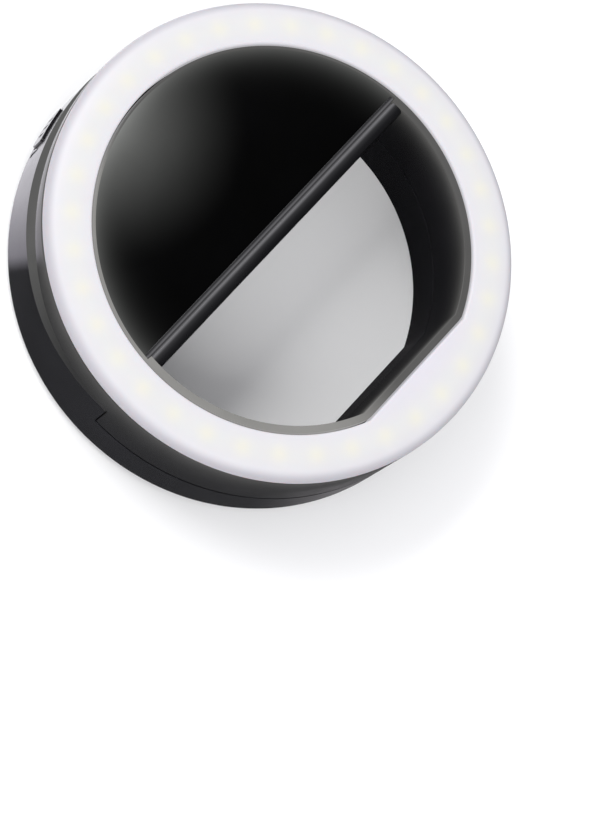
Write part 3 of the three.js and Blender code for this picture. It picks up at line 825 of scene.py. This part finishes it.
def front_section(angle):
    """An H: the outer wall, the ledge under the LEDs and the lip round the window or the panel."""
    top = CREST - DIFFUSER_DROP - 0.3
    side = OUTER_R * sin(angle)
    outer_back = JAW_HEAD_Z if side < HEAD_SPLIT_Y else lever_edge(side)
    inner_back = JAW_HEAD_Z if side < HEAD_SPLIT_Y else WEB_Z - CLEARANCE
    lip_r = d_radius(angle, WINDOW_R + LIP_WALL, WINDOW_FLAT + LIP_WALL)
    inner_r = PANEL_R if side > PANEL_Y else d_radius(angle, WINDOW_R, WINDOW_FLAT)
    wall_r = OUTER_R - WALL
    return rounded([
        (OUTER_R, outer_back, 0.35), (OUTER_R, top, 0.2), (wall_r, top, 0.1), (wall_r, WEB_TOP, 0),
        (lip_r, WEB_TOP, 0), (lip_r, LIP_TOP, 0.15), (inner_r, LIP_TOP, 0.2), (inner_r, inner_back, 0.15),
        (lip_r, inner_back, 0.1), (lip_r, WEB_Z, 0), (wall_r, WEB_Z, 0), (wall_r, outer_back, 0.2)], 4)


def make_front_housing():
    """The ring, the lever's panel, the bar over the hinge, the skirt and the two knuckles."""
    jog = asin(HEAD_SPLIT_Y / OUTER_R)
    panel_end = asin(PANEL_Y / OUTER_R)
    corners = (*flat_ends(WINDOW_R, WINDOW_FLAT), jog, pi - jog, panel_end, pi - panel_end)
    ring = turned("front_ring", front_section, ring_angles(corners), "lit_shell")
    adopt(ring, "head", "black_shell", "front_housing")
    moon = half_moon(PANEL_R + 0.1, PANEL_Y)
    panel = plate("lever_panel", moon, PANEL_TOP - PANEL_THICK, PANEL_TOP, "panel", 0.08)
    adopt(panel, "head", "black_shell")
    adopt(chord_bar(), "head", "black_shell")
    adopt(make_skirt(), "head", "black_shell")
    top = PANEL_TOP - 1.3
    outline = [(0.02, HINGE_Z + 1.5), (4.4, HINGE_Z + 2.2), (4.4, top), (0.02, top)]
    knuckles = {"head_knuckle_right": (LUG_FROM, LUG_TO), "head_knuckle_left": (-LUG_TO, -LUG_FROM)}
    for name, (x0, x1) in knuckles.items():
        neck = profile_x("neck", outline, x0, x1, "shell")
        adopt(joined(knuckle(name, x0, x1), [neck], "UNION"), "head", "black_shell")


def make_skirt():
    """The head's skirt, which slides inside the rear housing when the lever is squeezed."""
    start = asin((HINGE_Y + BARREL_R + 0.7) / SKIRT_R)
    inner = SKIRT_R - SKIRT_THICK
    top = WEB_Z + 0.2
    rows = []
    for x, y in arc(1.0, start, pi - start, SIDES // 2):
        low = COVER_TOP + 0.6 + (SKIRT_R * y - HINGE_Y) * tan(OPEN_ANGLE)
        outline = rounded([(SKIRT_R, low, 0.2), (SKIRT_R, top, 0), (inner, top, 0), (inner, low, 0.2)])
        rows.append([(r * x, r * y, z) for r, z in outline])
    return loft("head_skirt", rows, "skirt")


def chord_bar():
    """The straight edge at the hinge: a rounded bar, a groove and a thin raised rib."""
    outline = rounded([
        (0, BAR_LOW, 0.4), (0, BAR_TOP, 2.0), (BAR_TOP_EDGE, BAR_TOP, 0.2),
        (BAR_TOP_EDGE, GROOVE_FLOOR, 0.05), (RIB_EDGE, GROOVE_FLOOR, 0.05), (RIB_EDGE, LIP_TOP, 0.15),
        (RIB_END, LIP_TOP, 0.15), (RIB_END, PANEL_TOP - PANEL_THICK, 0), (1.6, 22.3, 0),
        (1.6, BAR_LOW, 0.2)], 6)
    return profile_x("chord_bar", outline, -WINDOW_R - 0.3, WINDOW_R + 0.3, "bar")


def knuckle(name, x0, x1):
    """A barrel round the hinge pin with softened ends."""
    edge = 0.25
    profile = [(PIN_BORE_R, x0), (BARREL_R - edge, x0), (BARREL_R, x0 + edge), (BARREL_R, x1 - edge),
               (BARREL_R - edge, x1), (PIN_BORE_R, x1)]
    rows = []
    for y, z in circle(1.0, sides=48):
        rows.append([(x, HINGE_Y + r * y, HINGE_Z + r * z) for r, x in profile])
    return loft(name, rows, "shell", closed_rows=True)


def make_led_ring():
    """The flexible strip with its chips, and the white board under it."""
    low, high = box_mm("led_board")
    inner = DIFFUSER_R + 1.8
    flat = DIFFUSER_FLAT + 1.8

    def board(angle):
        return pill(d_radius(angle, inner, flat), high[0], low[2], high[2], 0.1, 2)

    ring = turned("led_board_ring", board, ring_angles(flat_ends(inner, flat)), "white_board")
    adopt(ring, "head", "white_board", "led_board")
    base = box_mm("led_strip")[0][2]
    band = [(LED_R + 1, base), (LED_R + 1, base + 0.2), (LED_R - 1, base + 0.2), (LED_R - 1, base)]
    strip = turned("led_flex", lambda angle: band, ring_angles(), "white_board")
    adopt(strip, "head", "led", "led_strip")
    case = pill(-1.4, 1.4, base + 0.2, base + 0.75, 0.1, 2)
    dome_outline = pill(-1.1, 1.1, base + 0.6, base + 0.88, 0.12, 2)
    cases = []
    domes = []
    pads = []
    for i in range(LED_COUNT):
        turn = 360 / LED_COUNT * i
        cases.append(rim_bar("led_cases", turn, case, LED_R - 0.8, LED_R + 0.8, "white_board", 0.05))
        domes.append(rim_bar("led_phosphor", turn, dome_outline, LED_R - 0.6, LED_R + 0.6, "phosphor", 0.1))
        for side in (-1.6, 1.6):
            pad = pill(side - 0.3, side + 0.3, base + 0.15, base + 0.4, 0.1, 2)
            pads.append(rim_bar("led_solder", turn, pad, LED_R - 0.45, LED_R + 0.45, "steel", 0.05))
    adopt(gathered(cases), "head", "white_board")
    adopt(gathered(domes), "head", "led")
    adopt(gathered(pads), "head", "steel")


def holed_cover(name, node, y, screws, material):
    """A flat inner cover with a sunk hole at each screw."""
    low, high = box_mm(node)
    cover = plate(name, half_moon(hypot(high[0], low[1]), y), low[2], high[2], material, 0.15)
    holes = [turned_z("hole", [(1.25, low[2] - 1), (1.25, high[2] + 1)], x, y, material) for x, y in screws]
    return joined(cover, [gathered(holes)], "DIFFERENCE")


def screw_places(stem):
    """Screw names and centres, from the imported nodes."""
    names = [f"{stem}_{i}" for i in range(1, 5)]
    boxes = [box_mm(name) for name in names]
    return names, [((low[0] + high[0]) / 2, (low[1] + high[1]) / 2) for low, high in boxes]


def make_screw(name, x, y, body, facing):
    """A cross-head self-tapping screw; facing 1 has its head on +Z, facing -1 on -Z."""
    low, high = box_mm(name)
    seat = high[2] - 0.8 if facing > 0 else low[2] + 0.8
    tip = low[2] if facing > 0 else high[2]
    head = [(1.55, seat), (1.78, seat + 0.12 * facing), (1.78, seat + 0.35 * facing),
            (1.5, seat + 0.65 * facing), (1.0, seat + 0.8 * facing)]
    screw = turned_z(f"{name}_turned", head, x, y, "steel")
    deep, high_end = sorted((seat + 0.25 * facing, seat + facing))
    recess = []
    for a, b in ((0.95, 0.2), (0.2, 0.95)):
        recess.append(plate("recess", pill(x - a, x + a, y - b, y + b, 0.12, 2), deep, high_end, "steel"))
    screw = joined(screw, recess, "DIFFERENCE")
    thread = []
    turns = 10
    for i in range(turns + 1):
        z = seat + (tip - seat) * i / turns
        taper = min(1.0, (turns - i + 0.6) / 3)
        thread.append((0.7 * taper, z))
        if i < turns:
            thread.append((0.9 * min(1.0, (turns - i) / 3), z + (tip - seat) / turns / 2))
    shank = turned_z("shank", thread, x, y, "steel", 24)
    adopt(gathered([screw, shank]), body, "steel", name)


def make_screws():
    """Each inner cover, from its straight edge outwards, with its four screws."""
    sets = [("head_screw", "head", -1, "head_back_cover", 9.4, "cover"),
            ("clip_screw", "clip", 1, "clip_inner_cover", HINGE_Y + BARREL_R + 0.5, "lit_cover")]
    for stem, body, facing, cover, edge_y, material in sets:
        names, places = screw_places(stem)
        sheet = holed_cover(f"{cover}_plate", cover, edge_y, places, material)
        adopt(sheet, body, "dark_cover", cover)
        for name, (x, y) in zip(names, places):
            make_screw(name, x, y, body, facing)


# The rear housing ----------------------

def rear_edge(y):
    """Front edge of the rear housing, which the squeezed lever just clears."""
    return lever_edge(y) - (y - HINGE_Y) * tan(OPEN_ANGLE) - 0.25


def rear_body():
    """The solid that the rear housing is cut from: a turned disc with a rounded back edge."""
    quarter = [pi / 2 * s / 10 for s in range(11)]
    corner = [(OUTER_R - EDGE_RADIUS * (1 - sin(a)), EDGE_RADIUS * (1 - cos(a))) for a in quarter]
    return turned_z("rear_shell", [*corner, (OUTER_R, LEVER_Z)], 0, 0, "rear", SIDES)


def rear_top_cutter():
    """Everything in front of the rear housing's front edge."""
    shoulder = LEVER_Z - CLEARANCE
    outline = [(-FAR, REAR_JAW_TOP), (REAR_SPLIT_Y, REAR_JAW_TOP), (REAR_SPLIT_Y, shoulder),
               (HINGE_Y, shoulder)]
    for step in range(1, 25):
        y = HINGE_Y + (FAR - HINGE_Y) * step / 24
        outline.append((y, rear_edge(y)))
    outline += [(FAR, 40), (-FAR, 40)]
    return profile_x("top", outline, -FAR, FAR, "shell")


def chord_cutter():
    """Lowers the window's straight wall, so that the light head's knuckles clear it."""
    span = WINDOW_R + WALL + 0.1
    outline = [(REAR_SPLIT_Y - 0.1, REAR_JAW_TOP), (WALL + 0.1, REAR_JAW_TOP), (WALL + 0.1, LEVER_Z),
               (REAR_SPLIT_Y - 0.1, LEVER_Z)]
    return profile_x("chord", outline, -span, span, "shell")


def port(angle, across, z0, z1, radius):
    """A pill-shaped hole through the wall at the rim."""
    return rim_bar("port", angle, pill(-across / 2, across / 2, z0, z1, radius), 38, 46)


def grip_ridges():
    """Shallow grooves in the back plate, under the finger."""
    grooves = []
    for i in range(5):
        half = 15 - 1.6 * i
        y = 26 + 2.4 * i
        grooves.append(plate("ridge", pill(-half, half, y - 0.5, y + 0.5, 0.49), -1, 0.5, "shell"))
    return gathered(grooves)


def make_rear_housing():
    """The hollow shell with its window, ports and grip, and the clip's knuckle on its foot."""
    well = plate("well", circle(OUTER_R - WALL), FLOOR, 30, "shell")
    wall = plate("wall", d_window(WINDOW_R + WALL, WINDOW_FLAT + WALL, WALL), 0, 40, "shell")
    well = joined(well, [wall], "DIFFERENCE")
    window = plate("window", d_window(WINDOW_R, WINDOW_FLAT, 0.0), -2, 40, "shell")
    ports = [port(PORT_ANGLE, 7.9, PORT_Z - 3, PORT_Z + 3, 1.2),
             port(SLOT_ANGLE, 1.0, 3.0, 7.4, 0.45),
             port(-PORT_ANGLE, 8.4, 3.4, 6.9, 1.2)]
    cutters = [rear_top_cutter(), chord_cutter(), well, window, gathered(ports), grip_ridges()]
    shell = joined(rear_body(), cutters, "DIFFERENCE")
    adopt(soften(shell, 0.22), "clip", "black_shell", "rear_housing")
    low = FLOOR - CLEARANCE
    high = HINGE_Z - 2
    outline = [(0.4, low), (4.4, low), (4.4, high), (0.4, high)]
    foot = profile_x("foot", outline, -CENTRE_BARREL, CENTRE_BARREL, "shell")
    barrel = knuckle("clip_knuckle", -CENTRE_BARREL, CENTRE_BARREL)
    adopt(joined(barrel, [foot], "UNION"), "clip", "black_shell")


def make_button():
    """The push button: a low cap whose face follows the rim, with three finger grooves."""
    low, high = (corner[2] for corner in box_mm("power_button"))
    cap = rim_bar("button_cap", PORT_ANGLE, pill(-3.65, 3.65, low, high, 1.0), 39.6, 45)
    cap = joined(cap, [plate("rim", circle(BUTTON_R), 0, 20, "shell")], "INTERSECT")
    grooves = [rim_bar("groove", PORT_ANGLE, pill(x - 0.3, x + 0.3, low + 1.4, high - 1.4, 0.28), 40, 46)
               for x in (-1.7, 0, 1.7)]
    inner = plate("inner", circle(BUTTON_R - 0.14), 0, 20, "shell")
    cap = joined(cap, [joined(gathered(grooves), [inner], "DIFFERENCE")], "DIFFERENCE")
    adopt(soften(cap, 0.16, 50), "button", "black_shell", "power_button")
    low, high = box_mm("indicator_light_pipe")
    outline = pill(-0.42, 0.42, low[2], high[2], 0.4)
    pipe = rim_bar("light_pipe", SLOT_ANGLE, outline, 38.7, OUTER_R - 0.1, "smoke", 0.15)
    adopt(pipe, "clip", "smoked_plastic", "indicator_light_pipe")


def make_usb():
    """The charging inlet: a folded sheet shell, a tongue and its contacts."""
    low, high = box_mm("usb_socket")
    sheet = 0.3
    outside = pill(-3.8, 3.8, low[2], high[2], 0.7)
    inside = pill(-3.8 + sheet, 3.8 - sheet, low[2] + sheet, high[2] - sheet, 0.45)
    shell = rim_bar("usb_shell", -PORT_ANGLE, outside, 35.6, 41.6, "steel", 0.08)
    mouth = rim_bar("mouth", -PORT_ANGLE, inside, 36.4, 43, "steel")
    adopt(joined(shell, [mouth], "DIFFERENCE"), "clip", "steel", "usb_socket")
    tongue = rim_bar("usb_tongue", -PORT_ANGLE, pill(-2.2, 2.2, 4.7, 5.3, 0.12), 36.2, 41.0, "chip", 0.1)
    adopt(tongue, "clip", "chip")
    contacts = []
    for x in (-1.6, -0.8, 0, 0.8, 1.6):
        outline = pill(x - 0.18, x + 0.18, 5.25, 5.38, 0.04, 2)
        contacts.append(rim_bar("usb_contacts", -PORT_ANGLE, outline, 36.4, 40.7, "gold"))
    adopt(gathered(contacts), "clip", "steel")


# The jaw -------------------------------

def jaw_outline(half, gap, steps=60):
    """The jaw's hollow between two angles each side of -Y, anticlockwise."""
    outer = arc(OUTER_R - WALL - gap, -pi / 2 - half, -pi / 2 + half, steps)
    inner = []
    for step in range(steps + 1):
        angle = -pi / 2 + half - 2 * half * step / steps
        r = d_radius(angle, WINDOW_R + WALL + gap, WINDOW_FLAT + WALL + gap)
        inner.append((r * cos(angle), r * sin(angle)))
    return outer + inner


def make_jaw():
    """Each half of the jaw has an inner cover and a rubber pad with grip grooves across it."""
    for side, body in (("front", "head"), ("rear", "clip")):
        low, high = box_mm(f"{side}_jaw_cover")
        half = pi / 2 + asin((high[1] - 0.4) / OUTER_R)
        cover = plate(f"{side}_jaw_plate", jaw_outline(half, 0.4, 120), low[2], high[2], "cover", 0.15)
        adopt(cover, body, "dark_cover", f"{side}_jaw_cover")
        low, high = box_mm(f"{side}_jaw_pad")
        outline = jaw_outline(radians(PAD_HALF_ANGLE), 0.35)
        pad = plate(f"{side}_jaw_rubber", outline, low[2], high[2], "rubber", 0.25)
        face = high[2] if side == "rear" else low[2]
        groove = pill(-0.25, 0.25, face - 0.45, face + 0.45, 0.2, 3)
        grooves = [rim_bar("groove", 180 + turn, groove, 30, 45, "rubber") for turn in range(-27, 28, 3)]
        adopt(joined(pad, [gathered(grooves)], "DIFFERENCE"), body, "grip_rubber", f"{side}_jaw_pad")


# The hinge -----------------------------

def make_pin():
    """The hinge pin, with a low head at one end and a chamfer at the other."""
    left, right = (corner[0] for corner in box_mm("hinge_pin"))
    step = 0.25
    profile = [(PIN_R * 0.9, left), (PIN_R + step, left + 0.12), (PIN_R + step, left + 0.3),
               (PIN_R, left + 0.3), (PIN_R, right - step), (PIN_R - step, right)]
    adopt(turned_x("pin_turned", profile, "steel"), "clip", "steel", "hinge_pin")


def make_spring(node, side):
    """A close helix round the pin; one leg reaches under the lever, the other rests on the cover."""
    turns = 5.5
    start = 10.95
    pitch = (19.45 - start) / turns
    steps = int(turns * 26)
    path = [(side * start, HINGE_Y + 6.0 * t, HINGE_Z + COIL_R) for t in (1.0, 0.7, 0.4, 0.15)]
    for step in range(steps + 1):
        turn = turns * step / steps
        angle = pi / 2 + 2 * pi * turn
        y, z = COIL_R * cos(angle), COIL_R * sin(angle)
        path.append((side * (start + pitch * turn), HINGE_Y + y, HINGE_Z + z))
    end = path[-1]
    rest = COVER_TOP + 0.65
    path += [(end[0], HINGE_Y + 7 * t, end[2] + (rest - end[2]) * t) for t in (0.2, 0.5, 0.8, 1.0)]
    adopt(tube(f"{node}_coil", path, WIRE_R, "spring"), "clip", "steel", node)


# Inside the rear housing ---------------

def make_battery():
    """A foil pouch cell with sealed ends, a tape band and its foam pad."""
    low, high = box_mm("battery_pack")
    middle = (low[2] + high[2]) / 2
    full = (high[2] - low[2]) / 2
    seal = [(0, 0.08), (1.5, 0.08), (1.8, 0.75), (2.6, 1.0)]
    ends = [(low[0] + d, share) for d, share in seal]
    ends += [(high[0] - d, share) for d, share in reversed(seal)]
    rows = []
    for x, share in ends:
        half = full * share
        outline = pill(low[1], high[1], middle - half, middle + half, half * 0.98, 8)
        rows.append([(x, y, z) for y, z in outline])
    adopt(loft("battery_pouch", rows, "foil"), "clip", "battery_foil", "battery_pack")
    band = pill(low[1] + 2.6, high[1] - 2.6, high[2] - 0.02, high[2] + 0.06, 0.03, 2)
    adopt(profile_x("battery_tape", band, -4, 4, "tape"), "clip", "battery_foil")
    low, high = box_mm("battery_foam_pad")
    pad = plate("foam_sheet", pill(low[0], high[0], low[1], high[1], 0.8), low[2], high[2], "foam", 0.1)
    adopt(pad, "clip", "foam", "battery_foam_pad")


def make_leads():
    """Four soft leads through the same bends as their solids."""
    runs = {}
    for pole, x in (("positive", 8.7), ("negative", 7.3)):
        runs["battery", pole] = [(x, 14, 7.95), (x, 20, 7.95), (x, 25.6, 7.65), (x, 27.6, 5.55), (x, 29, 4.2)]
    for pole, z in (("positive", 5.6), ("negative", 4.2)):
        runs["head", pole] = [(-26, 8.6, z), (-25.6, 14, z), (-22, 20, z), (-19.8, 26, z), (-15, 30, z)]
    for (end, pole), points in runs.items():
        node = f"{end}_lead_{pole}"
        slot = "red_lead" if pole == "positive" else "black_lead"
        adopt(tube(f"{node}_wire", flowing(points), 0.42, slot), "clip", slot, node)


def make_package(node, name):
    """A chip with legs along two sides, in its node's space."""
    low, high = box_mm(node)
    x = (low[0] + high[0]) / 2
    y = (low[1] + high[1]) / 2
    width = high[0] - low[0]
    depth = high[1] - low[1]
    base = low[2]
    body = block(name, x, y, base + 0.12, width, depth - 0.9, high[2] - base - 0.12, "chip")
    adopt(body, "clip", "chip", node)
    legs = []
    for side in (-1, 1):
        foot_y = y + side * (depth / 2 - 0.35)
        for i in range(4):
            foot_x = x + (i - 1.5) * width / 4.6
            legs.append(block(f"{name}_legs", foot_x, foot_y, base, 0.3, 0.7, 0.25, "steel", 0.05))
    adopt(gathered(legs), "clip", "steel")


def make_board():
    """The control board with its small parts, the two chips and the coil."""
    low, high = box_mm("control_board")
    outline = pill(low[0], high[0], low[1], high[1], 0.6)
    board = plate("board_laminate", outline, low[2], high[2], "green_board", 0.05)
    adopt(board, "clip", "green_board", "control_board")
    top = high[2] + 0.02
    small = []
    ends = []
    for i in range(7):
        x = -11.5 + 1.5 * i if i < 3 else 3.6 + 1.6 * (i - 3)
        y = 28.2 if i < 3 else 27.8
        small.append(block("small_parts", x, y, top, 0.5, 0.9, 0.4, "chip", 0.05))
        for side in (-0.6, 0.6):
            ends.append(block("part_ends", x, y + side, top, 0.55, 0.3, 0.42, "steel", 0.05))
    adopt(gathered(small), "clip", "chip")
    adopt(gathered(ends), "clip", "steel")
    make_package("charger_chip", "charger_body")
    make_package("driver_chip", "driver_body")
    make_coil()


def make_coil():
    """A drum coil on its square base."""
    low, high = box_mm("power_inductor")
    y = (low[1] + high[1]) / 2
    base = block("coil_base", 0, y, low[2], high[0] - low[0], high[1] - low[1], 0.8, "chip", 0.3)
    adopt(base, "clip", "chip", "power_inductor")
    flange, core = 2.75, 2.1
    drum = [(flange, low[2] + 0.8), (flange, low[2] + 1.0), (core, low[2] + 1.0), (core, high[2] - 0.3),
            (flange, high[2] - 0.3), (flange, high[2])]
    adopt(turned_z("coil_drum", drum, 0, y, "chip"), "clip", "chip")
    winding = []
    for i in range(5):
        z = low[2] + 1.0 + 0.26 * i
        winding += [(2.3, z), (2.45, z + 0.07), (2.45, z + 0.19), (2.3, z + 0.26)]
    adopt(turned_z("coil_winding", winding, 0, y, "copper"), "clip", "chip")


def make_switch():
    """The switch behind the button and the lamp behind the light pipe."""
    low, high = box_mm("tact_switch")
    outline = pill(-3.0, 3.0, low[2], high[2], 0.25, 3)
    case = rim_bar("switch_case", PORT_ANGLE, outline, 34.9, 38.0, "steel", 0.15)
    adopt(case, "clip", "steel", "tact_switch")
    outline = pill(-1.2, 1.2, PORT_Z - 0.7, PORT_Z + 0.7, 0.6)
    stem = rim_bar("switch_stem", PORT_ANGLE, outline, 37.8, 38.6, "chip", 0.1)
    adopt(stem, "clip", "chip")
    low, high = box_mm("indicator_led")
    outline = pill(-0.8, 0.8, low[2], high[2], 0.15, 3)
    lamp = rim_bar("charge_lamp", SLOT_ANGLE + 0.6, outline, 37.1, 37.9, "phosphor", 0.1)
    adopt(lamp, "clip", "led", "indicator_led")


make_camera()
MATERIALS = make_materials()
make_lights()
make_floor()
make_card()
make_diffuser()
make_front_housing()
make_led_ring()
make_screws()
make_rear_housing()
make_button()
make_usb()
make_jaw()
make_pin()
make_spring("torsion_spring_left", -1)
make_spring("torsion_spring_right", 1)
make_battery()
make_leads()
make_board()
make_switch()
